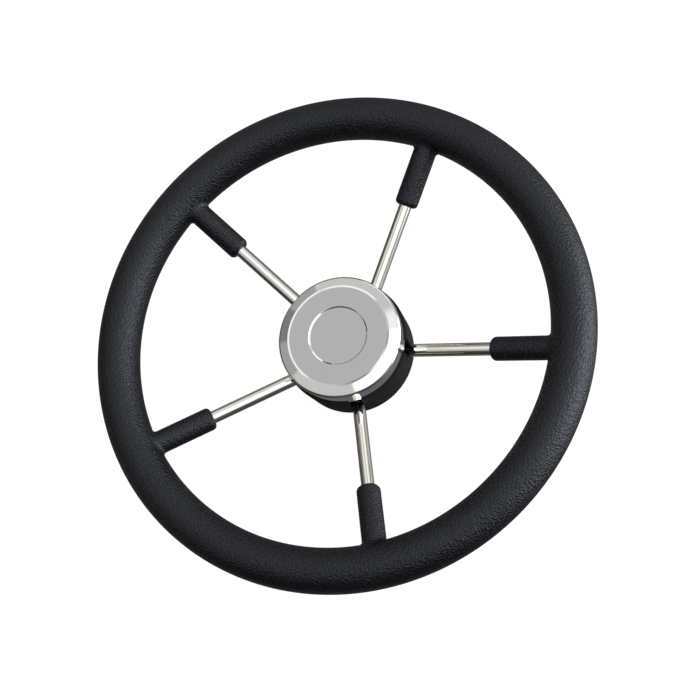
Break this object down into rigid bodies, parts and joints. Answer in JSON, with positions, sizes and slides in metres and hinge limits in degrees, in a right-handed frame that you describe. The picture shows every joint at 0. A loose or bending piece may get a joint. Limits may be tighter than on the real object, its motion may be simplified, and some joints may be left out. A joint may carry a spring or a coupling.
{
  "type": "boat steering wheel",
  "caption": "Spoked boat steering wheel with a moulded black grip, sleeved polished spokes, a hub cup with a taper bore and a pull-off polished centre cap.",
  "frame": {"origin": "on the shaft axis, in the plane of the hub's flat back face", "axes": "+Z along the shaft axis, from the hub's back to the cap; +Y along the first spoke"},
  "size_m": [0.35, 0.35, 0.0666],
  "materials": {
    "ring_steel": "plain drawn steel",
    "polished_steel": "polished stainless steel",
    "grip_foam": "moulded foam skin with a fine leather grain",
    "turned_steel": "turned steel",
    "cup_plastic": "moulded, fine grain",
    "screw_steel": "plain stainless steel",
    "ring_rubber": "smooth rubber",
    "cap_metal": "satin face, polished bevel and side"
  },
  "bodies": {
    "wheel": {"rim_core": "ring_steel", "spoke_1": "polished_steel", "spoke_2": "polished_steel", "spoke_3": "polished_steel", "spoke_4": "polished_steel", "spoke_5": "polished_steel", "rim_grip": "grip_foam", "hub_boss": "turned_steel", "hub_cup": "cup_plastic", "cup_screws": "screw_steel", "cap_ring": "ring_rubber"},
    "cap": {"centre_cap": "cap_metal"}
  },
  "joints": [
    {"name": "cap_pull", "type": "slide", "parent": "wheel", "child": "cap", "axis": [0, 0, 1], "range_m": [0, 0.012]}
  ]
}
